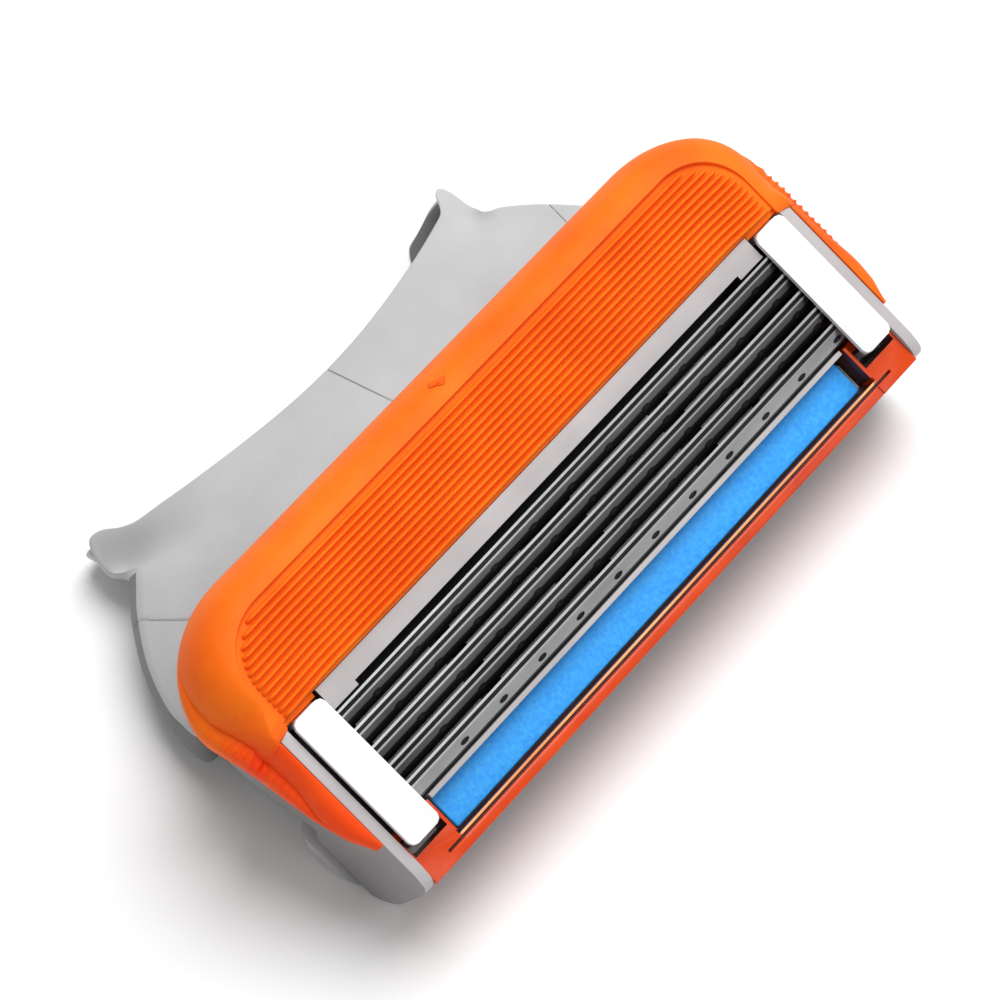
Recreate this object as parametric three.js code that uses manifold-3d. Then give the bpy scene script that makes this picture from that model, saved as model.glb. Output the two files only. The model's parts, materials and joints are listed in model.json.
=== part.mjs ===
// A five-blade cartridge head with its handle connector, lying blade side up on its feet and mouth.
// Lengths are millimetres. The head is modelled in its face frame: X runs along the blades,
// +Y points to the guard, +Z out of the shaving face, and Z = 0 is the top of the blade clips.
import * as THREE from 'three';
import { mergeVertices } from 'three/addons/utils/BufferGeometryUtils.js';
import Module from 'manifold-3d';

const wasm = await Module();
wasm.setup();

// Driving dimensions
const FACE_TILT = THREE.MathUtils.degToRad(31);   // shaving face to table, guard side up
const MERGE = 0.004;                                // finest detail kept after joins and cuts
const FIT = 0.04;                                   // gap between pieces that touch
const PIVOT = { y: 4.0, z: -1.0 };                  // hinge axis of the head, parallel to X
const SHELL_INNER = 7.45;                           // cradle of the connector, about the pivot
const SHELL_OUTER = 8.6;
const LOBE_RADIUS = SHELL_INNER - FIT;              // bearing lobes of the housing

const BLADE_COUNT = 5;
const BLADE_PITCH = 1.165;
const FIRST_EDGE_Y = 2.3;
const BLADE_HALF = 17.6;
const BLADE_EDGE_Z = -0.36;
const BLADE_WIDTH = 1.05;
const BLADE_THICK = 0.1;
const BLADE_ANGLE = THREE.MathUtils.degToRad(21.5);
const BLADE_BEVEL = 0.3;
const WELD = 0.015;                                 // a blade's height over its support
const SUPPORT_HALF = 17.2;
const SUPPORT_LEG = 0.97;                           // the support's leg, behind the edge
const SUPPORT_THICK = 0.14;
const SUPPORT_BOTTOM = -3.3;
const BLADE_TRAVEL = 0.3;
const FINGER = { inner: 15.9, outer: 17.9, half: 0.3, thick: 0.35 };   // spring fingers under the blades

const CLIP = { inner: 16.5, outer: 18.55, front: 3.45, rear: -4.72, top: 0, thick: 0.3, bottom: -5.35 };
const CLIP_FOOT = 0.9;
const CLIP_CORNER = 0.35;
const WALL = { inner: 18.75, outer: 19.35, top: -0.4, front: 3.7, bottom: -7.31 };   // housing's end plates
const JOIN = 0.1;                                   // overlap of solids that are united
const CAP = { front: -3.58, strip_front: -3.86, strip_rear: -5.82, rear: -6.75, top: -0.76 };
const STRIP = { half: 15.7, top: -1.7, thick: 0.55 };
const SEAT_HALF = 15.9;
const POCKET_HALF = 16.1;
const SLOT_REAR = -5.2;
const TOOTH = { count: 18, pitch: 1.6, half: 0.3, thick: 0.3, bottom: -3.75, top: -3.1 };   // rear comb
const SLOPE = { y: -6.15, z: -4.35, length: 1.48 };      // sloped face behind the cap, at 45 degrees
const ORANGE_TOP = -0.76;
const BLOCK_BOTTOM = -2.36;
const BLOCK_INNER = 17.75;

const GUARD = { half: 21.1, front: 10.5, corner: 5.6, bottom: -3.8, slope: 3.4, inset: 1.6 };
const FIN = { count: 13, first_y: 4.05, pitch: 0.355, width: 0.19, top: -0.14, base: -0.5 };
const PLATFORM = { half: 17.4, front: 8.9, corner: 3.2, top: -1.7, bottom: -3.4 };

const GUARD_BAR = { half: 16.35, rear: 2.72, front: 3.76, top: -0.42, bottom: -4.4 };
const SILL = { rear: 1.85, top: -2.5, bottom: -3.2 };     // below the gap in front of the first blade

const HUB_ANGLE = THREE.MathUtils.degToRad(44);     // mouth direction below the face
const CROWN = { top: 1.05, drop: 3.05, half: 17 };  // crowned top plate of the connector
const PLATE = { half: 19.3, thick: 1.2, back: 8, steps: 60 };
const MOUTH = { half: 14.0, middle: -1.9, bottom: -4.9, wall: 0.6, seat: 12.6, back: 9.5 };
const RIM = { half: 11.2, steps: 24, middle: 18.0, curve: 0.0205, limit: 24.4, drop: 0.5 };
const HORN = { length: 1.5, from: 11.2, to: 13.2 };     // the rim's reach at the upper corners
const LIP = { length: 3.7, from: 7.5, to: 11.5, high: 1.0, low: 2.8 };   // and at the lower corners
const OVAL_STEPS = 64;
const PLATE_FLANK = [[19.3, 8.4], [19.2, 12.6], [18.5, 14.7], [17.4, 16.6], [15.9, 18.4], [14.7, 19.5],
  [14.05, 20.3], [14.25, 21.5], [14.15, 22.5], [13.7, 23.1], [13.1, 22.7], [12.5, 21.8], [11.6, 20.9]];
const WINDOW = { half: 2.2, low: -3.3, high: -0.7 };
const ARM = { inner: 14.2, outer: 18.95, from: -67, to: -132 };   // cradle shells, in degrees about the pivot
const POST = { outer: 17.6, front: -0.9, top: -7.35 };
const FOOT = { outer: 19.6, front: -0.5, rear: -5.6, top: -7.62 };
const LOBE = { from: -136, to: -92, steps: 16 };        // bearing lobes, in degrees about the pivot
const TABLE = { y: -4.0, z: -8.5 };                     // a point on the table's surface
const FAR = 30;                                     // beyond the head in every direction

const COLORS = {
  connector: [0xcfd0d1, 0.5, 0],
  housing: [0xc9c6c7, 0.45, 0],
  guard: [0xf57a22, 0.75, 0],
  frame: [0xd9480f, 0.25, 0],
  strip: [0x3fa0f5, 0.6, 0],
  clip: [0xe8e8ea, 0.3, 1],
  blade: [0x9a9da1, 0.25, 1],
  support: [0x6f7276, 0.4, 1],
};

// Solids
function toSolid(geometry) {
  const bare = geometry.index ? geometry.toNonIndexed() : geometry;
  bare.deleteAttribute('normal');
  bare.deleteAttribute('uv');
  const merged = mergeVertices(bare, 1e-5);
  return new wasm.Manifold(new wasm.Mesh({
    numProp: 3,
    vertProperties: new Float32Array(merged.attributes.position.array),
    triVerts: new Uint32Array(merged.index.array),
  }));
}

function unite(solids) {
  return solids.reduce((sum, solid) => sum.add(solid));
}

function box(x0, x1, y0, y1, z0, z1) {
  const geometry = new THREE.BoxGeometry(x1 - x0, y1 - y0, z1 - z0);
  geometry.translate((x0 + x1) / 2, (y0 + y1) / 2, (z0 + z1) / 2);
  return toSolid(geometry);
}

function extrude(shape, depth, options = {}) {
  return new THREE.ExtrudeGeometry(shape, { depth, bevelEnabled: false, curveSegments: 8, ...options });
}

function outline(points) {
  return new THREE.Shape(points.map(([a, b]) => new THREE.Vector2(a, b)));
}

// A prism along X from a (y, z) outline.
function alongX(shape, x0, x1) {
  const geometry = extrude(shape, x1 - x0);
  geometry.applyMatrix4(new THREE.Matrix4().set(0, 0, 1, x0, 1, 0, 0, 0, 0, 1, 0, 0, 0, 0, 0, 1));
  return toSolid(geometry);
}

// A prism along the face normal from an (x, y) outline.
function alongZ(shape, z0, z1) {
  const geometry = extrude(shape, z1 - z0);
  geometry.translate(0, 0, z0);
  return toSolid(geometry);
}

function mirrorX(solid) {
  return solid.add(solid.mirror([1, 0, 0]));
}

function sector(radius, from, to, steps) {
  const points = [];
  for (let i = 0; i <= steps; i += 1) {
    const angle = THREE.MathUtils.degToRad(from + (to - from) * i / steps);
    points.push([PIVOT.y + radius * Math.cos(angle), PIVOT.z + radius * Math.sin(angle)]);
  }
  return points;
}

// An outline with straight rear corners and round front corners.
function guardOutline(half, front, rear, corner) {
  const shape = new THREE.Shape();
  shape.moveTo(-half, rear);
  shape.lineTo(half, rear);
  shape.lineTo(half, front - corner);
  shape.bezierCurveTo(half, front - corner * 0.4, half - corner * 0.5, front, half - corner * 1.1, front);
  shape.lineTo(-half + corner * 1.1, front);
  shape.bezierCurveTo(-half + corner * 0.5, front, -half, front - corner * 0.4, -half, front - corner);
  return shape;
}

// Frame of the hub: s runs out of the mouth, n up through the top plate.
const HUB_MATRIX = new THREE.Matrix4().set(
  1, 0, 0, 0,
  0, Math.cos(HUB_ANGLE), Math.sin(HUB_ANGLE), 0,
  0, -Math.sin(HUB_ANGLE), Math.cos(HUB_ANGLE), 0,
  0, 0, 0, 1,
);

function hubPlan(shape, n0, n1) {
  const geometry = extrude(shape, n1 - n0);
  geometry.translate(0, 0, n0);
  geometry.applyMatrix4(HUB_MATRIX);
  return toSolid(geometry);
}

function hubSection(shape, s0, s1) {
  const geometry = extrude(shape, s1 - s0);
  geometry.applyMatrix4(new THREE.Matrix4().set(1, 0, 0, 0, 0, 0, 1, s0, 0, 1, 0, 0, 0, 0, 0, 1));
  geometry.applyMatrix4(HUB_MATRIX);
  // the axes are swapped above, so each triangle is turned over
  const corners = geometry.attributes.position.array;
  for (let i = 0; i < corners.length; i += 9) {
    for (let k = 0; k < 3; k += 1) {
      [corners[i + 3 + k], corners[i + 6 + k]] = [corners[i + 6 + k], corners[i + 3 + k]];
    }
  }
  return toSolid(geometry);
}

function crown(x) {
  return CROWN.top - CROWN.drop * (Math.abs(x) / CROWN.half) ** 3;
}

// Space under the table, in the face frame.
function belowTable() {
  const level = (y) => TABLE.z - (y - TABLE.y) * Math.tan(FACE_TILT);
  const top = [[-FAR, level(-FAR)], [FAR, level(FAR)]];
  return alongX(outline([top[0], [-FAR, -2 * FAR], [FAR, -2 * FAR], top[1]]), -FAR, FAR);
}

// Connector
function topPlate() {
  const top = [];
  for (let i = 0; i <= PLATE.steps; i += 1) {
    const x = PLATE.half - 2 * PLATE.half * i / PLATE.steps;
    top.push([x, crown(x)]);
  }
  const under = top.map(([x, n]) => [x, n - PLATE.thick]).reverse();
  const sheet = hubSection(outline([...top, ...under]), PLATE.back, RIM.limit);
  return sheet.intersect(hubPlan(plateOutline(), -FAR, FAR));
}

function rimPoints() {
  const points = [];
  for (let i = 0; i <= RIM.steps; i += 1) {
    const x = RIM.half - 2 * RIM.half * i / RIM.steps;
    points.push([x, RIM.middle + RIM.curve * x * x]);
  }
  return points;
}

function plateOutline() {
  const curve = new THREE.SplineCurve(PLATE_FLANK.map(([x, s]) => new THREE.Vector2(x, s)));
  const flank = curve.getPoints(4 * PLATE_FLANK.length).map((point) => [point.x, point.y]);
  const other = flank.map(([x, s]) => [-x, s]).reverse();
  return outline([...flank, ...rimPoints(), ...other]);
}

function smoothStep(value, low, high) {
  return THREE.MathUtils.smoothstep(value, low, high);
}

// Where the mouth's wall ends: at the plate's rim above, and further out at the lower corners.
function mouthEnd(x, n) {
  const across = Math.abs(x);
  const horn = HORN.length * smoothStep(across, HORN.from, HORN.to);
  const lip = LIP.length * smoothStep(across, LIP.from, LIP.to) * smoothStep(-n, LIP.high, LIP.low);
  const limit = RIM.limit - RIM.drop * smoothStep(n, -LIP.low, -LIP.high);
  return Math.min(limit, RIM.middle - 0.07 + RIM.curve * x * x + horn + lip);
}

// The mouth's section, as [x, n]: it follows the crown above and is flatter below.
function mouthOval(inset) {
  const points = [];
  const half = MOUTH.half - inset;
  for (let i = 0; i < OVAL_STEPS; i += 1) {
    const angle = 2 * Math.PI * (i + 0.5) / OVAL_STEPS;
    const x = half * Math.sign(Math.cos(angle)) * Math.abs(Math.cos(angle)) ** 0.7;
    const above = Math.sin(angle) > 0;
    const reach = Math.abs(Math.sin(angle)) ** (above ? 0.35 : 0.8);
    const end = above ? crown(x) - 0.06 - inset : MOUTH.bottom + inset;
    points.push([x, THREE.MathUtils.lerp(MOUTH.middle, end, reach)]);
  }
  return points;
}

function hubPoint(x, s, n) {
  return new THREE.Vector3(x, s, n).applyMatrix4(HUB_MATRIX);
}

// A closed skin through rings that have the same number of points.
function loft(rings) {
  const count = rings[0].length;
  const corners = [];
  const quad = (a, b, c, d) => corners.push(a, b, c, a, c, d);
  for (let i = 0; i + 1 < rings.length; i += 1) {
    for (let k = 0; k < count; k += 1) {
      const next = (k + 1) % count;
      quad(rings[i][k], rings[i + 1][k], rings[i + 1][next], rings[i][next]);
    }
  }
  for (const [ring, turned] of [[rings[0], false], [rings[rings.length - 1], true]]) {
    const middle = new THREE.Vector3();
    ring.forEach((point) => middle.addScaledVector(point, 1 / count));
    for (let k = 0; k < count; k += 1) {
      const next = ring[(k + 1) % count];
      corners.push(middle, ...(turned ? [next, ring[k]] : [ring[k], next]));
    }
  }
  return toSolid(new THREE.BufferGeometry().setFromPoints(corners));
}

function hubBody() {
  const ring = (inset, end) => mouthOval(inset).map(([x, n]) => hubPoint(x, end(x, n), n));
  return loft([
    ring(0, () => MOUTH.back),
    ring(0, (x, n) => mouthEnd(x, n) - 0.15),
    ring(0.15, mouthEnd),
    ring(MOUTH.wall, mouthEnd),
    ring(MOUTH.wall, () => MOUTH.seat),
  ]);
}

function hubSocket() {
  const cavity = hubSection(outline(mouthOval(MOUTH.wall)), MOUTH.seat, RIM.limit + 1);
  const window = hubSection(outline([[-WINDOW.half, WINDOW.low], [WINDOW.half, WINDOW.low],
    [WINDOW.half, WINDOW.high], [-WINDOW.half, WINDOW.high]]), MOUTH.back - 3, MOUTH.seat + 1);
  return cavity.add(window);
}

function arm() {
  const outside = sector(SHELL_OUTER, ARM.from, ARM.to, 20);
  const inside = sector(SHELL_INNER, ARM.to, ARM.from, 20);
  const shell = alongX(outline([...outside, ...inside]), ARM.inner, ARM.outer);
  const post = box(ARM.inner, POST.outer, FOOT.rear, POST.front, -FAR, POST.top);
  const pad = alongX(outline([[FOOT.front, FOOT.top], [FOOT.rear, FOOT.top], [FOOT.rear, -12], [-3.0, -12],
    [FOOT.front - 0.5, -8.3]]), ARM.inner, FOOT.outer);
  return mirrorX(unite([shell, post, pad]));
}

function connector() {
  // the room the head turns in
  const swept = alongX(outline(sector(SHELL_INNER, 0, 352, 44)), -FAR, FAR);
  const body = topPlate().add(hubBody()).subtract(hubSocket());
  return body.subtract(swept).add(arm()).subtract(belowTable());
}

// Housing
function endWalls() {
  const heel = new THREE.SplineCurve([[CAP.rear + 1.2, WALL.top - 0.06], [CAP.rear + 0.45, WALL.top - 0.24],
    [CAP.rear + 0.1, WALL.top - 0.62], [CAP.rear, WALL.top - 1.3], [CAP.rear, -4.3], [CAP.rear + 0.12, -5.5],
    [CAP.rear + 0.5, -6.5], [CAP.rear + 1.1, WALL.bottom]].map(([y, z]) => new THREE.Vector2(y, z)));
  const round = heel.getPoints(28).map((point) => [Math.max(point.x, CAP.rear), point.y]);
  const side = outline([[WALL.front, WALL.top], ...round, [-1.95, WALL.bottom],
    ...sector(LOBE_RADIUS, LOBE.from, LOBE.to, LOBE.steps), [WALL.front, -4]]);
  const wall = alongX(side, WALL.inner, WALL.outer);
  const block = box(BLOCK_INNER, WALL.inner + JOIN, -4.4, 2.9, -4.95, -2.4);
  const bearing = sector(LOBE_RADIUS, LOBE.from, LOBE.to, LOBE.steps / 2);
  const lobe = alongX(outline([...bearing, [3.74, -5.6], [-1.2, -5.6]]), ARM.inner + 0.2, WALL.inner + JOIN);
  return mirrorX(unite([wall, block, lobe]));
}

function springFingers() {
  const fingers = [];
  for (let i = 0; i < BLADE_COUNT; i += 1) {
    const y = FIRST_EDGE_Y - i * BLADE_PITCH - BLADE_WIDTH;
    const top = SUPPORT_BOTTOM - BLADE_TRAVEL - FIT;
    fingers.push(box(FINGER.inner, FINGER.outer, y - FINGER.half, y + FINGER.half, top - FINGER.thick, top));
  }
  return mirrorX(unite(fingers));
}

function guardSide() {
  const { half, rear, front, top, bottom } = GUARD_BAR;
  const bar = box(-half, half, rear, front, bottom, top);
  const ends = mirrorX(box(14.6, half, 2.45, rear + 2 * JOIN, bottom, top));
  const shoulders = mirrorX(box(16.3, WALL.inner + JOIN, 3.5, GUARD_BAR.front, GUARD_BAR.bottom, -1.2));
  const sill = box(-half, half, SILL.rear, rear + JOIN, SILL.bottom, SILL.top);
  const plan = guardOutline(PLATFORM.half, PLATFORM.front, 3.6, PLATFORM.corner);
  const platform = alongZ(plan, PLATFORM.bottom, PLATFORM.top);
  return unite([bar, ends, shoulders, sill, platform]);
}

function crossRibs() {
  const ribs = [-8.5, 0, 8.5].map((x) => box(x - 0.5, x + 0.5, -5, 3.2, -5.3, -3.9));
  const rails = mirrorX(box(15.2, 16.3, -5, 3.2, -5.7, -4.3));
  const ties = mirrorX(box(16.2, 17.9, -4.35, 2.85, -4.9, -4.35));
  return unite([...ribs, rails, ties]);
}

function capSide() {
  const floor = box(-16.3, 16.3, -5.0, -4.4, -5.4, -4.3);
  const seat = box(-SEAT_HALF, SEAT_HALF, -5.75, -3.6, -4.4, STRIP.top - STRIP.thick - FIT);
  const lip = box(-SEAT_HALF, SEAT_HALF, CAP.strip_front + FIT, CAP.front, -4.6, CAP.top);
  const run = SLOPE.length * Math.SQRT1_2;
  const section = outline([[-5.3, -3.9], [SLOPE.y, SLOPE.z], [SLOPE.y + run, SLOPE.z - run], [-4.6, -5.4]]);
  const slope = alongX(section, -SEAT_HALF, SEAT_HALF);
  const posts = mirrorX(box(BLOCK_INNER, WALL.inner + JOIN, -5.75, -5.25, -5.4, BLOCK_BOTTOM - FIT));
  return unite([floor, seat, lip, slope, posts]);
}

function camRib() {
  return alongX(outline([[1.6, -5.2], [0.4, -6.1], [-1.8, -5.6], [-1.8, -5.2]]), -1.8, 1.8);
}

function housing() {
  return unite([endWalls(), springFingers(), guardSide(), crossRibs(), capSide(), camRib()]);
}

// Guard elastomer
function guardSkin() {
  const steps = 14;
  const layers = [];
  for (let i = 0; i < steps; i += 1) {
    const share = (i + 0.5) / steps;
    const inset = GUARD.inset * (1 - Math.sqrt(1 - share * share));
    const z0 = GUARD.bottom + GUARD.slope * i / steps;
    const z1 = GUARD.bottom + GUARD.slope * (i + 1) / steps + (i < steps - 1 ? 0.02 : 0);
    layers.push(alongZ(guardOutline(GUARD.half - inset, GUARD.front - inset, -3.6, GUARD.corner), z0, z1));
  }
  return unite(layers);
}

function fins() {
  const rows = [];
  for (let i = 0; i < FIN.count; i += 1) {
    const y = FIN.first_y + i * FIN.pitch;
    rows.push(box(-19, 19, y - FIN.width / 2, y + FIN.width / 2, FIN.base - 0.3, FIN.top));
  }
  return unite(rows).intersect(alongZ(guardOutline(18.57, 8.68, 3.5, 3.0), -2, 1));
}

function guardElastomer() {
  const base = guardSkin();
  const clearFins = alongZ(guardOutline(18.5, 8.6, 3.85, 3.0), FIN.base, 1);
  const aroundPlatform = guardOutline(PLATFORM.half + FIT, PLATFORM.front + FIT, 3.4, PLATFORM.corner);
  const underPlatform = alongZ(aroundPlatform, -FAR, PLATFORM.top + FIT);
  const headSpace = box(-WALL.outer - FIT, WALL.outer + FIT, -FAR, GUARD_BAR.front + FIT, -FAR, FAR);
  const edge = [[5.2, -3.8], [3.6, -3.1], [-0.5, -2.0], [-3.7, -0.9]];
  const skirt = alongX(outline([[5.2, -FAR], ...edge, [-FAR, -0.9], [-FAR, -FAR]]), -FAR, FAR);
  const shell = base.subtract(clearFins).subtract(underPlatform).subtract(headSpace).subtract(skirt);
  const taper = outline([[19.2, -3.7], [19.75, -3.7], [20.6, -0.6], [21.4, 3], [19.2, 3]]);
  const sides = mirrorX(alongZ(taper, -FAR, FAR));
  const front = box(-FAR, FAR, 2.9, FAR, -FAR, FAR);
  return shell.intersect(sides.add(front)).add(fins());
}

// Cap side pieces
function cornerBlock() {
  const block = box(POCKET_HALF, WALL.inner - FIT, CAP.rear, CAP.front - 0.12, BLOCK_BOTTOM, ORANGE_TOP);
  const slot = box(CLIP.inner - 0.2, CLIP.outer - 0.08, SLOT_REAR, CLIP.rear + CLIP.thick + 0.1, -6, 1);
  const throat = box(CLIP.inner - 0.2, CLIP.outer + FIT, CLIP.rear + CLIP.thick, CAP.front, -1.3, 1);
  return block.subtract(slot).subtract(throat);
}

function trimmerFrame() {
  const half = WALL.inner - FIT;
  const bar = box(-half, half, CAP.rear, CAP.strip_rear - FIT, -3.2, ORANGE_TOP - 0.1);
  const slot = mirrorX(box(CLIP.inner - 0.2, CLIP.outer + 0.01, SLOT_REAR, CLIP.rear + 0.5, -6, 1));
  const teeth = [];
  for (let i = 0; i < TOOTH.count; i += 1) {
    const x = (i - (TOOTH.count - 1) / 2) * TOOTH.pitch;
    const rear = CAP.rear;
    teeth.push(box(x - TOOTH.half, x + TOOTH.half, rear, rear + TOOTH.thick, TOOTH.bottom, TOOTH.top));
  }
  return unite([bar, mirrorX(cornerBlock()), ...teeth]).subtract(slot);
}

function lubricatingStrip() {
  return box(-STRIP.half, STRIP.half, CAP.strip_rear, CAP.strip_front, STRIP.top - STRIP.thick, STRIP.top);
}

// A plate lying on the sloped face of the cap, a distance out from it and from one length to another.
function trimmerPlate(out, from, to, thick) {
  const across = Math.SQRT1_2;
  const at = (length, rise) => [
    SLOPE.y + across * (length - rise),
    SLOPE.z - across * (length + rise),
  ];
  return outline([at(from, out), at(to, out), at(to, out + thick), at(from, out + thick)]);
}

function trimmerSupport() {
  return alongX(trimmerPlate(FIT, -0.35, 1.4, SUPPORT_THICK), -15.2, 15.2);
}

function trimmerBlade() {
  return alongX(trimmerPlate(SUPPORT_THICK + 2 * FIT, -0.75, 0.5, BLADE_THICK), -14.5, 14.5);
}

// Clips
function clip() {
  const { inner, outer, rear, front, top, thick, bottom } = CLIP;
  const corner = CLIP_CORNER;
  const cut = corner * 0.3;
  const plan = outline([[inner, rear + corner], [inner + cut, rear + cut], [inner + corner, rear],
    [outer - corner, rear], [outer - cut, rear + cut], [outer, rear + corner],
    [outer, front - corner], [outer - cut, front - cut], [outer - corner, front],
    [inner + corner, front], [inner + cut, front - cut], [inner, front - corner]]);
  const part = (y0, y1, z0, z1) => box(inner + corner, outer - corner, y0, y1, z0, z1);
  return unite([
    alongZ(plan, top - thick, top),
    part(front - thick, front, bottom, top - thick / 2),
    part(rear, rear + thick, bottom, top - thick / 2),
    part(front - CLIP_FOOT, front, bottom, bottom + thick),
    part(rear, rear + CLIP_FOOT, bottom, bottom + thick),
  ]);
}

// Blades
// A point of a blade's section: so far back from the edge, and so far under the upper face.
function bladePoint(edgeY, back, under) {
  const cos = Math.cos(BLADE_ANGLE);
  const sin = Math.sin(BLADE_ANGLE);
  return [edgeY - cos * back + sin * under, BLADE_EDGE_Z - sin * back - cos * under];
}

function blade(edgeY) {
  const at = (back, under) => bladePoint(edgeY, back, under);
  const section = [at(0, 0), at(BLADE_WIDTH, 0), at(BLADE_WIDTH, BLADE_THICK), at(BLADE_BEVEL, BLADE_THICK)];
  return alongX(outline(section), -BLADE_HALF, BLADE_HALF);
}

function bladeSupport(edgeY) {
  const at = (back, under) => bladePoint(edgeY, back, under);
  const top = BLADE_THICK + WELD;
  const front = edgeY - SUPPORT_LEG;
  const rear = front - SUPPORT_THICK;
  const section = [at(0.42, top), at(0.97, top), [rear, -1.0], [rear, SUPPORT_BOTTOM],
    [front, SUPPORT_BOTTOM], [front, -1.05], at(0.42, top + SUPPORT_THICK)];
  return alongX(outline(section), -SUPPORT_HALF, SUPPORT_HALF);
}

// Scene graph
function addPiece(group, name, solid, [color, roughness, metalness]) {
  const mesh = solid.simplify(MERGE).getMesh();
  const geometry = new THREE.BufferGeometry();
  geometry.setAttribute('position', new THREE.BufferAttribute(new Float32Array(mesh.vertProperties), 3));
  geometry.setIndex(new THREE.BufferAttribute(new Uint32Array(mesh.triVerts), 1));
  geometry.computeVertexNormals();
  const piece = new THREE.Mesh(geometry, new THREE.MeshStandardMaterial({ color, roughness, metalness }));
  piece.name = name;
  group.add(piece);
}

const head = new THREE.Group();
addPiece(head, 'connector', connector(), COLORS.connector);
addPiece(head, 'housing', housing(), COLORS.housing);
addPiece(head, 'guard_elastomer', guardElastomer(), COLORS.guard);
addPiece(head, 'trimmer_frame', trimmerFrame(), COLORS.frame);
addPiece(head, 'lubricating_strip', lubricatingStrip(), COLORS.strip);
addPiece(head, 'trimmer_blade', trimmerBlade(), COLORS.blade);
addPiece(head, 'trimmer_support', trimmerSupport(), COLORS.support);
addPiece(head, 'clip_right', clip(), COLORS.clip);
addPiece(head, 'clip_left', clip().mirror([1, 0, 0]), COLORS.clip);
for (let i = 0; i < BLADE_COUNT; i += 1) {
  const edgeY = FIRST_EDGE_Y - i * BLADE_PITCH;
  addPiece(head, `blade_${i + 1}`, blade(edgeY), COLORS.blade);
  addPiece(head, `blade_support_${i + 1}`, bladeSupport(edgeY), COLORS.support);
}

// The origin is the middle of the head's box, on the table.
head.rotation.x = FACE_TILT;
head.updateMatrixWorld(true);
const bounds = new THREE.Box3().setFromObject(head, true);
head.position.set(0, -(bounds.min.y + bounds.max.y) / 2, -bounds.min.z);

const part = new THREE.Group();
part.add(head);

export default part;
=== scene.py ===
"""Looks of a cartridge razor head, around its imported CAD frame.

Pieces are modelled in the head's face frame, in millimetres: X along the blades, +Y to the guard,
+Z out of the shaving face, with Z = 0 at the top of the clips. TO_ROW takes them to the row frame.
"""

import json
import math

import bmesh
import bpy
from mathutils import Matrix, Vector


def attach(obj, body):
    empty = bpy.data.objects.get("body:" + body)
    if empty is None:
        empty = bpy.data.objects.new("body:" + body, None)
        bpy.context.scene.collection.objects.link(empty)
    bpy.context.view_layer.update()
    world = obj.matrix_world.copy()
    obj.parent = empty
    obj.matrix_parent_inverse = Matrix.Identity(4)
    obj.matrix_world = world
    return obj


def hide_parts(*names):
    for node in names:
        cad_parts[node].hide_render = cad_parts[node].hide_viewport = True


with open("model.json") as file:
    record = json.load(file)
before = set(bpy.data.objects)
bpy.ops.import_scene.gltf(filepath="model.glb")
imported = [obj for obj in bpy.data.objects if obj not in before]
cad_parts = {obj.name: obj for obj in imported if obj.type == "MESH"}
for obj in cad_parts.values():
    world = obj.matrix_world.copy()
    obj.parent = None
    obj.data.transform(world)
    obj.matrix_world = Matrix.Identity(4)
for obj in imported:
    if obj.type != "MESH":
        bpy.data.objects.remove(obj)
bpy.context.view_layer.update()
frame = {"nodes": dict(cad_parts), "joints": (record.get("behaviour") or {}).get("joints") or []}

MM = 0.001
FACE_TILT = math.radians(31)
PIVOT = Vector((0, 4.0, -1.0))          # the head's hinge, in the face frame
HUB_ANGLE = math.radians(44)            # the mouth's direction, below the face

pivot_row = Vector(next(j["pos_m"] for j in frame["joints"] if j["name"] == "head_pivot"))
TO_ROW = (
    Matrix.Translation(pivot_row)
    @ Matrix.Rotation(FACE_TILT, 4, "X")
    @ Matrix.Scale(MM, 4)
    @ Matrix.Translation(-PIVOT)
)

HEAD = "blade_unit"
BLADE_COUNT = 5
BLADE_PITCH = 1.165
FIRST_EDGE_Y = 2.3
BLADE_HALF = 17.6
BLADE_EDGE_Z = -0.36
BLADE_ANGLE = math.radians(21.5)
# Painted shade: the guard rubber comes in lit and shaded copies, redder where its sides turn from the light.
GUARD_PAINTED_SHADES = 6                        # the rubber grows redder down the sides, most on the left


# Materials

def new_material(name, color, roughness, metallic=0.0, specular=0.5, coat=0.0, subsurface=0.0):
    material = bpy.data.materials.new(name)
    material.use_nodes = True
    shader = material.node_tree.nodes["Principled BSDF"]
    shader.inputs["Base Color"].default_value = (*color, 1)
    shader.inputs["Roughness"].default_value = roughness
    shader.inputs["Metallic"].default_value = metallic
    shader.inputs["Specular IOR Level"].default_value = specular
    shader.inputs["Coat Weight"].default_value = coat
    shader.inputs["Coat Roughness"].default_value = 0.12
    shader.inputs["Subsurface Weight"].default_value = subsurface
    shader.inputs["Subsurface Radius"].default_value = (0.0012, 0.0005, 0.0002)
    return material


def texture(material, kind, scale, stretch=(1, 1, 1), **settings):
    """A procedural texture over object space; scale is in features per metre."""
    tree = material.node_tree
    coordinates = tree.nodes.new("ShaderNodeTexCoord")
    mapping = tree.nodes.new("ShaderNodeMapping")
    mapping.inputs["Rotation"].default_value = (-FACE_TILT, 0, 0)
    mapping.inputs["Scale"].default_value = stretch
    node = tree.nodes.new(kind)
    node.inputs["Scale"].default_value = scale
    for key, value in settings.items():
        node.inputs[key].default_value = value
    tree.links.new(coordinates.outputs["Object"], mapping.inputs["Vector"])
    tree.links.new(mapping.outputs["Vector"], node.inputs["Vector"])
    return node


def add_bump(material, output, strength, distance):
    """Adds a bump on top of the ones already there."""
    tree = material.node_tree
    shader = tree.nodes["Principled BSDF"]
    bump = tree.nodes.new("ShaderNodeBump")
    bump.inputs["Strength"].default_value = strength
    bump.inputs["Distance"].default_value = distance
    tree.links.new(output, bump.inputs["Height"])
    if shader.inputs["Normal"].is_linked:
        tree.links.new(shader.inputs["Normal"].links[0].from_socket, bump.inputs["Normal"])
    tree.links.new(bump.outputs["Normal"], shader.inputs["Normal"])


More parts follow.
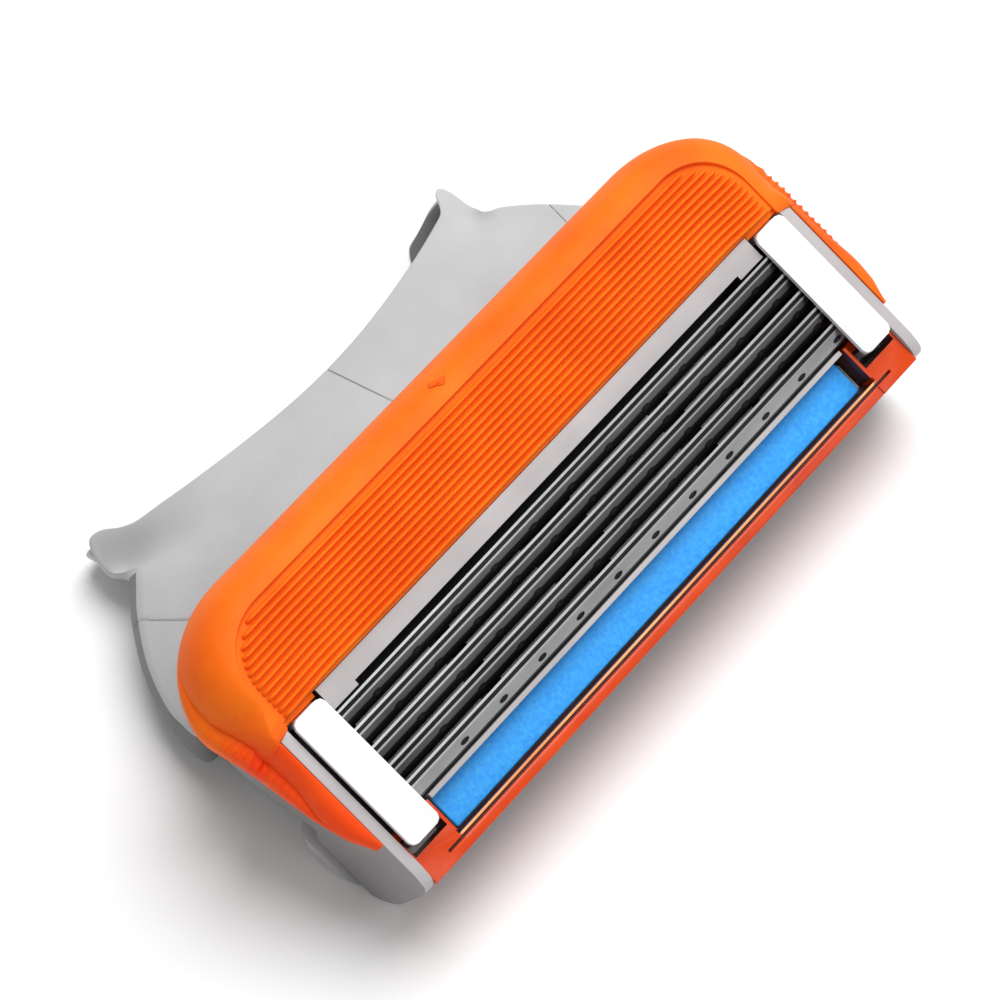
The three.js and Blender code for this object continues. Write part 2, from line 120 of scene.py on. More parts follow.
def vary_color(material, output, dark, light, low=0.3, high=0.7):
    tree = material.node_tree
    ramp = tree.nodes.new("ShaderNodeValToRGB")
    ramp.color_ramp.elements[0].position = low
    ramp.color_ramp.elements[0].color = (*dark, 1)
    ramp.color_ramp.elements[1].position = high
    ramp.color_ramp.elements[1].color = (*light, 1)
    tree.links.new(output, ramp.inputs["Fac"])
    tree.links.new(ramp.outputs["Color"], tree.nodes["Principled BSDF"].inputs["Base Color"])


def vary_roughness(material, output, low, high):
    tree = material.node_tree
    scale = tree.nodes.new("ShaderNodeMapRange")
    scale.inputs["To Min"].default_value = low
    scale.inputs["To Max"].default_value = high
    tree.links.new(output, scale.inputs["Value"])
    tree.links.new(scale.outputs["Result"], tree.nodes["Principled BSDF"].inputs["Roughness"])


def moulded_plastic(name, dark, light, roughness, grain, specular=0.4):
    """Satin plastic with a fine spark-eroded grain and faint flow marks."""
    material = new_material(name, light, roughness, specular=specular)
    clouds = texture(material, "ShaderNodeTexNoise", 180, Detail=4)
    fine = texture(material, "ShaderNodeTexNoise", 7000, Detail=3)
    vary_color(material, clouds.outputs["Fac"], dark, light)
    vary_roughness(material, fine.outputs["Fac"], roughness - 0.08, roughness + 0.1)
    add_bump(material, fine.outputs["Fac"], grain, 0.00003)
    return material


# The names of the guard rubber's copies; 0 is the lit one, the rest carry painted shade.
def guard_painted_shade(i):
    return "guard_orange" if i == 0 else f"guard_orange_{i}"


def guard_rubber(name, red):
    """Soft matt rubber; the second argument, from 0 to 1, deepens its orange towards red as painted shade."""
    material = new_material(name, (0.93, 0.2 - 0.12 * red, 0.01), 0.66, specular=0.2, subsurface=0.12)
    clouds = texture(material, "ShaderNodeTexNoise", 260, Detail=5)
    fine = texture(material, "ShaderNodeTexNoise", 9000, Detail=4)
    vary_color(material, clouds.outputs["Fac"], (0.9 + 0.08 * red, 0.13 - 0.085 * red, 0.002),
               (0.97 + 0.03 * red, 0.19 - 0.12 * red, 0.004))
    vary_roughness(material, fine.outputs["Fac"], 0.52, 0.74)
    add_bump(material, fine.outputs["Fac"], 0.35, 0.00003)
    return material


def glossy_orange():
    material = new_material("frame_orange", (0.7, 0.06, 0.004), 0.28, specular=0.35, coat=0.08)
    waves = texture(material, "ShaderNodeTexNoise", 900, Detail=3)
    clouds = texture(material, "ShaderNodeTexNoise", 300, Detail=4)
    vary_color(material, clouds.outputs["Fac"], (0.56, 0.04, 0.002), (0.72, 0.065, 0.004))
    vary_roughness(material, waves.outputs["Fac"], 0.16, 0.34)
    add_bump(material, waves.outputs["Fac"], 0.12, 0.00006)
    return material


def waxy_blue():
    material = new_material("strip_blue", (0.05, 0.36, 0.95), 0.55, specular=0.3, subsurface=0.08)
    fine = texture(material, "ShaderNodeTexNoise", 4200, Detail=6)
    drag = texture(material, "ShaderNodeTexNoise", 700, stretch=(0.12, 1, 1), Detail=4)
    vary_color(material, fine.outputs["Fac"], (0.03, 0.34, 1.0), (0.06, 0.46, 1.0))
    vary_roughness(material, drag.outputs["Fac"], 0.42, 0.7)
    add_bump(material, fine.outputs["Fac"], 0.5, 0.00006)
    add_bump(material, drag.outputs["Fac"], 0.2, 0.00008)
    return material


def steel(name, dark, light, roughness, brush=2600):
    """Ground steel, brushed along the blade."""
    material = new_material(name, light, roughness, metallic=1.0)
    lines = texture(material, "ShaderNodeTexNoise", brush, stretch=(0.03, 1, 1), Detail=5)
    clouds = texture(material, "ShaderNodeTexNoise", 500, stretch=(0.3, 1, 1), Detail=3)
    vary_color(material, clouds.outputs["Fac"], dark, light)
    vary_roughness(material, lines.outputs["Fac"], max(0.05, roughness - 0.1), roughness + 0.12)
    add_bump(material, lines.outputs["Fac"], 0.25, 0.00002)
    return material


def new_frame_painted_highlight():
    """The frame's orange made pale: a painted highlight where its rail catches the light."""
    material = new_material("frame_painted_highlight", (0.98, 0.42, 0.13), 0.25, specular=0.5, coat=0.3)
    waves = texture(material, "ShaderNodeTexNoise", 700, stretch=(0.3, 1, 1), Detail=3)
    vary_color(material, waves.outputs["Fac"], (0.86, 0.26, 0.06), (1.0, 0.5, 0.2))
    vary_roughness(material, waves.outputs["Fac"], 0.18, 0.34)
    return material


def satin_aluminium():
    material = steel("clip_aluminium", (0.84, 0.84, 0.845), (0.93, 0.93, 0.93), 0.5, 1800)
    material.node_tree.nodes["Principled BSDF"].inputs["Metallic"].default_value = 0.35
    return material


MATERIALS = {
    "connector_grey": moulded_plastic("connector_grey", (0.44, 0.44, 0.445), (0.52, 0.52, 0.525), 0.5, 0.35),
    "housing_grey": moulded_plastic("housing_grey", (0.4, 0.375, 0.38), (0.5, 0.47, 0.475), 0.42, 0.25),
    # the guard rubber, lit and in steps of painted shade
    **{guard_painted_shade(i): guard_rubber(guard_painted_shade(i), i / (GUARD_PAINTED_SHADES - 1)) for i in range(GUARD_PAINTED_SHADES)},
    "gate_red": moulded_plastic("gate_red", (0.85, 0.1, 0.002), (0.92, 0.14, 0.003), 0.6, 0.5, 0.2),
    "frame_orange": glossy_orange(),
    "strip_blue": waxy_blue(),
    # painted shade for the housing's blade well and clip slots
    "well_painted_shade": moulded_plastic("well_painted_shade", (0.012, 0.012, 0.013), (0.022, 0.022, 0.024), 0.5, 0.2),
    # painted shade for the inside of the connector's mouth
    "mouth_painted_shade": moulded_plastic("mouth_painted_shade", (0.1, 0.1, 0.102), (0.15, 0.15, 0.152), 0.55, 0.35),
    # painted shade for the turned-down sides of the connector's wings
    "wing_side_painted_shade": moulded_plastic("wing_side_painted_shade", (0.12, 0.12, 0.122), (0.19, 0.19, 0.192), 0.5, 0.35),
    # painted shade for the housing's end faces
    "housing_end_painted_shade": moulded_plastic("housing_end_painted_shade", (0.24, 0.23, 0.232), (0.33, 0.315, 0.318), 0.42, 0.25),
    # painted highlight along the trimmer frame's rail
    "frame_painted_highlight": new_frame_painted_highlight(),
    # painted shade for the trimmer frame's pocket, groove and slots
    "recess_painted_shade": moulded_plastic("recess_painted_shade", (0.05, 0.009, 0.003), (0.09, 0.016, 0.005), 0.35, 0.2),
    "clip_aluminium": satin_aluminium(),
    "blade_steel": steel("blade_steel", (0.13, 0.13, 0.135), (0.25, 0.25, 0.26), 0.3),
    # painted shade on the blades' bevels and undersides
    "blade_bevel_painted_shade": steel("blade_bevel_painted_shade", (0.03, 0.03, 0.032), (0.07, 0.07, 0.072), 0.25),
    # painted highlight along the blades' ground edges
    "blade_edge_painted_highlight": steel("blade_edge_painted_highlight", (0.75, 0.76, 0.78), (0.92, 0.93, 0.95), 0.3),
    # painted highlight on the land behind each edge
    "blade_land_painted_highlight": steel("blade_land_painted_highlight", (0.42, 0.42, 0.43), (0.62, 0.62, 0.63), 0.35),
    # the weld spots' own dark colour, also used as painted shade on the blades' heels
    "weld_spot_and_painted_shade": steel("weld_spot_and_painted_shade", (0.018, 0.018, 0.02), (0.04, 0.04, 0.042), 0.4),
    "support_steel": steel("support_steel", (0.1, 0.1, 0.105), (0.2, 0.2, 0.21), 0.35),
}


# Mesh tools

def finish_piece(name, mesh, material, body, nodes, smooth=40):
    """Links a mesh that is already in the row frame, and hands it to the frame."""
    piece = bpy.data.objects.new(name, mesh)
    bpy.context.scene.collection.objects.link(piece)
    materials = material if isinstance(material, list) else [material]
    indices = [face.material_index for face in mesh.polygons]
    mesh.materials.clear()
    for item in materials:
        mesh.materials.append(MATERIALS[item])
    mesh.polygons.foreach_set("material_index", indices)
    mesh.shade_smooth()
    if smooth:
        mesh.set_sharp_from_angle(angle=math.radians(smooth))
    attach(piece, body)
    if nodes:
        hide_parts(*nodes)
    return piece


def bake_modifiers(piece):
    graph = bpy.context.evaluated_depsgraph_get()
    mesh = bpy.data.meshes.new_from_object(piece.evaluated_get(graph))
    bpy.data.objects.remove(piece)
    return mesh


def cut_box(low, high):
    """A cutter between two corners given in the face frame."""
    work = bmesh.new()
    bmesh.ops.create_cube(work, size=1.0)
    for v in work.verts:
        v.co = TO_ROW @ Vector([mix(a, b, c + 0.5) for a, b, c in zip(low, high, v.co)])
    mesh = bpy.data.meshes.new("cutter")
    work.to_mesh(mesh)
    work.free()
    cutter = bpy.data.objects.new("cutter", mesh)
    bpy.context.scene.collection.objects.link(cutter)
    return cutter


def from_cad(node, bevel=0.06, segments=2, cuts=()):
    """The CAD node's mesh with its flat faces joined, fine grooves cut and its edges rounded."""
    mesh = frame["nodes"][node].data.copy()
    work = bmesh.new()
    work.from_mesh(mesh)
    bmesh.ops.remove_doubles(work, verts=work.verts, dist=0.002 * MM)
    bmesh.ops.dissolve_limit(work, angle_limit=math.radians(1.5), verts=work.verts, edges=work.edges)
    work.to_mesh(mesh)
    work.free()
    piece = bpy.data.objects.new("work", mesh)
    bpy.context.scene.collection.objects.link(piece)
    cutters = [cut_box(low, high) for low, high in cuts]
    for cutter in cutters:
        groove = piece.modifiers.new("groove", "BOOLEAN")
        groove.operation = "DIFFERENCE"
        groove.object = cutter
    rounding = piece.modifiers.new("bevel", "BEVEL")
    rounding.width = bevel * MM
    rounding.segments = segments
    rounding.limit_method = "ANGLE"
    rounding.angle_limit = math.radians(25)
    rounding.use_clamp_overlap = True
    baked = bake_modifiers(piece)
    for cutter in cutters:
        bpy.data.objects.remove(cutter)
    return baked


def keep_cad(node, body, slot, bevel=0.06, segments=2, cuts=(), others=(), pick=None):
    """Puts a rounded copy of a CAD piece in its place; pick gives some faces one of the other materials."""
    mesh = from_cad(node, bevel, segments, cuts)
    piece = finish_piece(node + "_finish", mesh, [slot, *others], body, [node])
    if pick:
        to_face = TO_ROW.inverted()
        for face in mesh.polygons:
            face.material_index = pick(to_face @ face.center)
    return piece


# Lofted shapes in the face frame

def loft(work, rings, material_of=None):
    """Joins rings of points into a skin. Each ring has the same number of points."""
    rows = [[work.verts.new(TO_ROW @ Vector(p)) for p in ring] for ring in rings]
    count = len(rows[0])
    for low, high in zip(rows, rows[1:]):
        for k in range(count):
            n = (k + 1) % count
            face = work.faces.new((low[k], low[n], high[n], high[k]))
            if material_of:
                face.material_index = material_of(k)
    work.faces.new(rows[0][::-1])
    work.faces.new(rows[-1])


def to_mesh(work, name):
    bmesh.ops.recalc_face_normals(work, faces=work.faces)
    mesh = bpy.data.meshes.new(name)
    work.to_mesh(mesh)
    work.free()
    return mesh


def smooth_step(low, high, value):
    t = min(1.0, max(0.0, (value - low) / (high - low)))
    return t * t * (3 - 2 * t)


def mix(a, b, share):
    return a + (b - a) * share


# Guard: a soft skin round the nose and both sides, with a bed of fins

GUARD_HALF = 21.18
GUARD_FRONT = 10.5
GUARD_REAR = -3.6
GUARD_CORNER = 5.6
GUARD_TOP = -0.36
BED_HALF = 18.62                        # the skin's inner edge round the fins
BED_FRONT = 8.74
BED_CORNER = 3.1
WALL_EDGE = 19.39                       # and beside the housing's end walls
SIDE_STEPS = 120
CORNER_STEPS = 26
FRONT_STEPS = 30
SERRATION = 0.2
SERRATION_PITCH = 0.42
# how much of the painted shade the lit right side gets
RIGHT_SIDE_PAINTED_SHADE = 0.45
ARC_STEPS = 11
ARC_END = ARC_STEPS + 3                 # the section's last point on its crowned top


def corner_curve(half, front, corner, t):
    """The right front corner of an outline, from its side (t = 0) to its front (t = 1)."""
    a = Vector((half, front - corner))
    b = Vector((half, front - corner * 0.4))
    c = Vector((half - corner * 0.5, front))
    d = Vector((half - corner * 1.1, front))
    return (1 - t) ** 3 * a + 3 * (1 - t) ** 2 * t * b + 3 * (1 - t) * t * t * c + t ** 3 * d


def half_outline(half, front, corner, rear):
    """Points from the right rear end, round the corner, to the middle of the front."""
    points = [Vector((half, mix(rear, front - corner, i / SIDE_STEPS))) for i in range(SIDE_STEPS)]
    points += [corner_curve(half, front, corner, i / CORNER_STEPS) for i in range(CORNER_STEPS)]
    start = half - corner * 1.1
    points += [Vector((mix(start, 0, i / FRONT_STEPS), front)) for i in range(FRONT_STEPS + 1)]
    return points


def side_taper(y):
    """How far the side draws in towards the cap."""
    back = max(0.0, 6 - y)
    bulge = 0.3 * smooth_step(2.5, 7.5, back) * (1 - 0.8 * smooth_step(8.2, 9.6, back))
    return 0.118 * back + 0.0045 * back * back - bulge


SKIRT = [(-3.6, -0.95), (-0.5, -2.0), (3.6, -3.1), (5.2, -3.8), (20, -3.8)]


def skirt_bottom(y):
    """The height of the skirt's lower edge."""
    for (y0, z0), (y1, z1) in zip(SKIRT, SKIRT[1:]):
        if y <= y1:
            return mix(z0, z1, max(0.0, y - y0) / (y1 - y0))


def guard_section(inner, outer, y):
    """The skin's section: the crowned top, a crease above a flange at the sides, and the hollow below."""
    across = outer - inner
    width = across.length
    aim = across / width
    bottom = skirt_bottom(y)
    top = GUARD_TOP
    flat = 0.04 + 0.8 * smooth_step(19.2, 18.8, abs(inner.x)) * (1 - smooth_step(3.95, 5.2, inner.y))
    size = min(1.0, (width - flat) / 1.56)
    flange = size * (1 - smooth_step(4.5, 9.4, outer.y)) * smooth_step(-1.8, 1.4, outer.y)
    reach = width - 0.8 * flange * size
    crease = mix(bottom + 0.5 * size, bottom + 1.3 * size, flange)
    rib = SERRATION * max(0.0, math.sin(math.tau * y / SERRATION_PITCH)) * flange * (y < 6.2)
    points = [(0.0, top - 0.5), (0.0, top - 0.05), (0.04, top), (flat, top)]
    for i in range(1, ARC_STEPS + 1):
        turn = math.pi / 2 * i / ARC_STEPS
        out = flat + (reach - flat) * math.sin(turn)
        fall = (1 - math.cos(turn)) ** mix(1.0, 0.72, flange)
        points.append((out, top - (top - crease) * fall))
    lip = width - reach
    slant = flange * size
    foot = crease - 0.5 * slant
    points += [
        (reach + 0.14 * lip, crease - 0.04 * flange),
        (reach + 0.4 * lip + 0.2 * rib, crease - 0.1 * slant - 0.01 + 0.5 * rib),
        (reach + 0.8 * lip + 0.2 * rib, crease - 0.28 * slant - 0.03 + rib),
        (width - 0.02 * size, foot - 0.05 + rib),
        (width, mix(foot, bottom, 0.25)),
        (width, mix(foot, bottom, 0.8)),
        (width - 0.12 * size, bottom),
        (width * 0.55, bottom + 0.02),
        (width * 0.45, bottom + 0.3 * size),
    ]
    return [(*(inner + aim * out), z) for out, z in points]


def guard_inner():
    """Beside the fins, and from the housing's end walls rearward outside them."""
    points = []
    for p in half_outline(BED_HALF, BED_FRONT, BED_CORNER, GUARD_REAR):
        x = mix(WALL_EDGE, BED_HALF, smooth_step(3.36, 3.42, p.y)) if p.y < 4 else p.x
        points.append(Vector((x, p.y)))
    return points


def guard_outer():
    points = half_outline(GUARD_HALF, GUARD_FRONT, GUARD_CORNER, GUARD_REAR)
    return [Vector((p.x - side_taper(p.y), p.y)) for p in points]


def skin_painted_shade(k, x, y):
    """Which painted shade a face of the skin has: redder outward along the section, and towards the cap,
    where the skin turns from the light; less on the lit right side.
    """
    depth = mix(min(1.0, k / ARC_END), 0.8, smooth_step(4.5, 2.5, y)) * smooth_step(7.5, 3.0, y)
    strength = 1 if x < 0 else RIGHT_SIDE_PAINTED_SHADE
    return min(GUARD_PAINTED_SHADES - 1, int(depth * GUARD_PAINTED_SHADES * strength))


def guard_skin():
    work = bmesh.new()
    inner, outer = guard_inner(), guard_outer()
    half = [guard_section(i, o, 0.5 * (i.y + o.y) if o.y > 5 else o.y) for i, o in zip(inner, outer)]
    other = [[(-x, y, z) for x, y, z in ring] for ring in half[:-1]]
    rings = half + other[::-1]
    loft(work, rings)
    # Painted shade: faces further out along each section, and towards the cap, get redder copies of the
    # rubber.
    for i, face in enumerate(work.faces):
        row, k = divmod(i, len(rings[0]))
        if row < len(rings) - 1:
            face.material_index = skin_painted_shade(k, *rings[row][0][:2])
    mesh = to_mesh(work, "guard_skin")
    materials_with_painted_shade = [guard_painted_shade(i) for i in range(GUARD_PAINTED_SHADES)]
    return finish_piece("guard_skin", mesh, materials_with_painted_shade, HEAD, ["guard_elastomer"], 50)


FIN_COUNT = 13
FIN_PITCH = 0.352
FIN_FIRST_Y = 4.06
FIN_TOP = -0.13
BED_TOP = -0.47


def fin_half_length(y):
    """Half the length of the fin bed at y, less the moat round it."""
    half, front, corner = 18.5, 8.62, 3.05
    if y <= front - corner:
        return half
    steps = 60
    for i in range(steps):
        p = corner_curve(half, front, corner, i / steps)
        if p.y >= y:
            return p.x
    return half - corner * 1.1


def fin_bend(x):
    """The fins' ends turn slightly towards the blades."""
    return -0.14 * smooth_step(14.5, 18.5, abs(x))


def fins():
    work = bmesh.new()
    profile = [(-0.5, BED_TOP - 0.1), (-0.42, BED_TOP + 0.08), (-0.2, FIN_TOP - 0.05), (-0.07, FIN_TOP),
               (0.07, FIN_TOP), (0.2, FIN_TOP - 0.05), (0.42, BED_TOP + 0.08), (0.5, BED_TOP - 0.1)]
    for i in range(FIN_COUNT):
        y = FIN_FIRST_Y + i * FIN_PITCH
        half = fin_half_length(y + 0.06) - 0.1
        sink = 0.16 * smooth_step(5.5, 8.6, y)
        rings = []
        steps = 48
        for k in range(steps + 1):
            share = -1 + 2 * k / steps
            x = half * math.copysign(1 - (1 - abs(share)) ** 1.6, share)
            end = smooth_step(0, 0.25, half - abs(x) + 0.06)
            middle = y + fin_bend(x) * (1 - 0.75 * i / FIN_COUNT)
            rings.append([(x, middle + 0.3 * a, mix(BED_TOP - 0.1, z, end) - sink) for a, z in profile])
        loft(work, rings)
    mesh = to_mesh(work, "fins")
    return finish_piece("guard_fins", mesh, "guard_orange", HEAD, [], 60)


GATE = Vector((-0.62, 9.66, -0.73))     # on the nose
GATE_SLOPE = 0.8                        # of the nose there
GATE_LENGTH = 0.36
GATE_WIDTH = 0.22


def gate_mark():
    """The torn stub of the moulding gate, low on the nose, with a smear to one side."""
    work = bmesh.new()
    rings = []
    for size, rise in ((1.0, -0.16), (0.9, -0.02), (0.72, 0.05), (0.5, 0.03), (0.3, 0.09), (0.08, 0.1)):
        ring = []
        for k in range(24):
            turn = math.tau * k / 24
            torn = 1 + 0.16 * math.sin(3 * turn + 1) + 0.1 * math.sin(7 * turn)
            smear = 1 + 0.9 * max(0.0, -math.cos(turn + 0.5)) ** 6
            x = GATE_LENGTH * size * torn * smear * math.cos(turn)
            y = GATE_WIDTH * size * torn * smear * math.sin(turn)
            ring.append((GATE.x + x, GATE.y + y, GATE.z - GATE_SLOPE * y + rise))
        rings.append(ring)
    loft(work, rings)
    mesh = to_mesh(work, "gate_mark")
    return finish_piece("guard_gate_mark", mesh, "gate_red", HEAD, [], 60)


def clip_lips():
    """The skin's low step between the fins and each clip."""
    work = bmesh.new()
    for side in (1, -1):
        section = [(3.5, -1.15), (3.5, -0.72), (3.54, -0.66), (3.78, -0.6), (3.84, -0.7), (3.84, -1.15)]
        loft(work, [[(side * x, y, z) for y, z in section] for x in (16.5, 17.2, 18.0, 18.7)])
    mesh = to_mesh(work, "clip_lips")
    return finish_piece("guard_clip_lips", mesh, "guard_orange", HEAD, [], 40)


def fin_bed():
    work = bmesh.new()
    half = half_outline(18.66, 8.78, 3.1, 3.8)
    loop = half + [Vector((-p.x, p.y)) for p in half[:-1][::-1]]
    loop = [p for i, p in enumerate(loop) if i == 0 or (p - loop[i - 1]).length > 1e-6]
    level = [(p.x, p.y, BED_TOP - 0.16 * smooth_step(5.5, 8.6, p.y)) for p in loop]
    under = [(p.x, p.y, -1.62) for p in loop]
    loft(work, [under, level])
    mesh = to_mesh(work, "fin_bed")
    return finish_piece("guard_bed", mesh, "guard_orange", HEAD, [], 40)


# Connector: a crowned plate with two horns, over the mouth's tube and two cradle arms

CRADLE = 7.5                            # radius kept free round the hinge for the head
PLATE_THICK = 0.9
MOUTH_HALF = 14.0
MOUTH_MIDDLE = -1.9
MOUTH_BOTTOM = -4.95
MOUTH_LIMIT = 24.35
MOUTH_SEAT = 12.6                       # the socket's floor
RIM_MIDDLE = 17.93
RIM_CURVE = 0.0205
HORN_LENGTH = 0.9
LIP_LENGTH = 3.7
PLATE_FLANK = [
    (0, 10.2), (8, 10.2), (15, 10.2), (19.0, 10.3), (19.2, 12.6), (18.5, 14.7), (17.4, 16.6), (15.9, 18.4),
    (14.7, 19.5), (14.05, 20.3), (14.25, 21.5), (14.15, 22.5), (13.7, 23.05), (13.1, 22.7), (12.5, 21.8),
    (11.6, 20.9), (9.5, 19.85), (7.0, 19.0), (4.5, 18.42), (2.2, 18.1), (0, 18.0),
]


def crown(x):
    return 1.05 - 3.05 * (abs(x) / 17) ** 3


def smooth_curve(points, steps):
    """A curve through all the points, with even steps between them."""
    padded = [points[0], *points, points[-1]]
    curve = []
    for a, b, c, d in zip(padded, padded[1:], padded[2:], padded[3:]):
        for i in range(steps):
            t = i / steps
            curve.append(tuple(
                0.5 * (2 * q + (r - p) * t + (2 * p - 5 * q + 4 * r - u) * t ** 2
                       + (3 * q - p - 3 * r + u) * t ** 3)
                for p, q, r, u in zip(a, b, c, d)
            ))
    return [*curve, points[-1]]


def hub_to_face(x, s, n):
    """A point of the connector's own frame: s runs out of the mouth, n up through the top plate."""
    y = s * math.cos(HUB_ANGLE) + n * math.sin(HUB_ANGLE)
    z = -s * math.sin(HUB_ANGLE) + n * math.cos(HUB_ANGLE)
    out = Vector((y - PIVOT.y, z - PIVOT.z))
    if out.length < CRADLE:
        out *= CRADLE / out.length
    return Vector((x, PIVOT.y + out.x, PIVOT.z + out.y))


FOLD_START = Vector((13.5, 20.7))       # in the notch between horn and wing, as (x, s)
FOLD_END = Vector((10.6, 17.4))


def fold_depth(x, s):
    """The valley between each horn and its wing."""
    start, run = FOLD_START, FOLD_END - FOLD_START
    place = Vector((abs(x), s)) - start
    t = min(1.0, max(-0.3, place.dot(run) / run.length_squared))
    gap = (place - t * run).length
    return 1.3 * (1 - max(0.0, t)) ** 1.3 * math.exp(-(gap / 1.1) ** 2)


WING_SIDE = 0.1                         # share of the way in over which a wing turns down at its side


def wing_fall(x, s, share):
    """How far the plate turns down towards a wing's side."""
    wing = smooth_step(13.5, 15.0, abs(x)) * (1 - smooth_step(20.0, 20.7, s))
    return 0.85 * wing * max(0.0, 1 - share / WING_SIDE) ** 1.1


def top_plate(work):
    half = smooth_curve(PLATE_FLANK, 7)
    outline = half + [(-x, s) for x, s in half[-2:0:-1]]
    rings = []
    shares = [1, 0.85, 0.7, 0.6, 0.5, 0.42, 0.35, 0.29, 0.24, 0.19, 0.15, 0.11, 0.08, 0.055, 0.035, 0.02]
    for share in shares:
        rings.append([(x, s, share, 0) for x, s in outline])
    for share, drop in ((0.008, 0.05), (0.001, 0.16), (0, 0.3), (0, 0.6), (0.004, PLATE_THICK - 0.12),
                        (0.02, PLATE_THICK), (0.2, PLATE_THICK), (1, PLATE_THICK)):
        rings.append([(x, s, share, drop) for x, s in outline])
    skin = []
    for ring in rings:
        points = []
        for x, s, share, drop in ring:
            inner_x, inner_s = 0.8 * x, 11.2 + 0.02 * (s - 11)
            px, ps = mix(x, inner_x, share), mix(s, inner_s, share)
            thin = smooth_step(11.5, 13.2, abs(px)) * smooth_step(19.5, 21, ps)
            fall = min(drop, mix(PLATE_THICK, 0.45, thin))
            top = crown(px) - fold_depth(px, ps) - min(0.75, wing_fall(x, s, share))
            points.append(hub_to_face(px, ps, top - fall))
        skin.append(points)
    loft(work, skin)
    # Faces along the turned-down wing sides get a painted shade.
    for i, face in enumerate(work.faces):
        row, k = divmod(i, len(outline))
        at_side = row < len(rings) and rings[row][0][2] < WING_SIDE
        if at_side and wing_fall(*outline[k], 0) > 0.35:
            face.material_index = 2


def oval(shrink, steps=96):
    """The mouth's section: it follows the crown above and is flatter below."""
    points = []
    half = MOUTH_HALF - shrink
    for i in range(steps):
        angle = math.tau * (i + 0.5) / steps
        x = half * math.copysign(abs(math.cos(angle)) ** 0.7, math.cos(angle))
        if math.sin(angle) > 0:
            n = mix(MOUTH_MIDDLE, crown(x) - 0.1 - shrink, math.sin(angle) ** 0.35)
        else:
            n = mix(MOUTH_MIDDLE, MOUTH_BOTTOM + shrink, abs(math.sin(angle)) ** 0.8)
        points.append((x, n))
    return points


def mouth_end(x, n):
    """Where the tube ends: along the plate's rim above, and further out at the lower corners."""
    horn = HORN_LENGTH * smooth_step(11.2, 13.2, abs(x))
    lip = LIP_LENGTH * smooth_step(7.5, 11.5, abs(x)) * smooth_step(1.1, 3.2, -n)
    limit = MOUTH_LIMIT - 1.1 * smooth_step(-3.2, -1.3, n)
    return min(limit, RIM_MIDDLE + RIM_CURVE * x * x + horn + lip)


def mouth_point(x, n, s):
    """Under the folds the tube's upper wall sinks with the plate."""
    above = min(1.0, max(0.0, n - MOUTH_MIDDLE) / 0.8)
    return hub_to_face(x, s, n - 1.25 * above * fold_depth(x, s))


def mouth_tube(work):
    """The tube, from its closed back along the outside, over the rim and back in to the socket's floor."""
    rings = [[hub_to_face(x, 10.0, n) for x, n in oval(0)]]
    outside = [(0, back) for back in (6, 5, 4.2, 3.5, 2.9, 2.4, 1.9, 1.4, 1.0, 0.6, 0.3)]
    rim = [(0.06, 0.09), (0.25, 0), (0.44, 0.06)]
    inside = [(0.5, back) for back in (0.25, 0.6, 1.2, 2.0, 3.0, 4.0, 5.0)]
    for shrink, back in outside + rim + inside:
        rings.append([
            mouth_point(x, n - (0.12 if shrink > 0.4 else 0), max(MOUTH_SEAT, mouth_end(x, n) - back))
            for x, n in oval(shrink)
        ])
    rings.append([hub_to_face(x, MOUTH_SEAT, n - 0.12) for x, n in oval(0.5)])
    before = len(work.faces)
    loft(work, rings)
    # The inside of the tube gets the mouth's painted shade.
    shaded = before + (len(outside) + len(rim)) * len(rings[0])
    for face in list(work.faces)[shaded:]:
        face.material_index = 1


def arc(radius, start, end, steps):
    angles = [math.radians(mix(start, end, i / steps)) for i in range(steps + 1)]
    return [(PIVOT.y + radius * math.cos(a), PIVOT.z + radius * math.sin(a)) for a in angles]


SQUARE_END = [(0.15, 0), (0.05, 0.04), (0, 0.12)]      # inward from an end, and how far it draws in
ROUND_END = [(1.3, 0), (0.9, 0.25), (0.55, 0.7), (0.25, 1.5), (0.08, 2.4), (0, 3.6)]
ARM_START = [(14.2, 0.12), (14.25, 0.04), (14.35, 0)]


def cradle_arm(work, side):
    """A curved arm that carries the head, with a post and a foot under its end."""
    shell = arc(8.6, -67, -132, 24) + arc(CRADLE, -132, -67, 24)
    post = [(-1.0, -7.35), (-5.55, -7.35), (-5.55, -7.52), (-2.5, -9.4), (-1.0, -10.3)]
    foot = [(-0.55, -7.66), (-3.0, -7.64), (-5.5, -7.66), (-3.05, -9.1), (-1.05, -8.3)]
    parts = ((shell, 18.95, SQUARE_END), (post, 17.6, SQUARE_END), (foot, 19.6, ROUND_END))
    for section, outer, end in parts:
        middle = [sum(v) / len(section) for v in zip(*section)]
        rings = []
        for x, draw in ARM_START + [(outer - back, draw) for back, draw in end]:
            share = 0.15 * draw
            rings.append([(side * x, mix(y, middle[0], share), mix(z, middle[1], share)) for y, z in section])
        loft(work, rings)


SEAM_WIDTH = 0.1
SEAM_DEPTH = 0.09
SEAMS = [((0, 18.0), (0, 12.5)), ((16.3, 18.2), (14.2, 12.8)), ((-16.3, 18.2), (-14.2, 12.8))]   # (x, s)


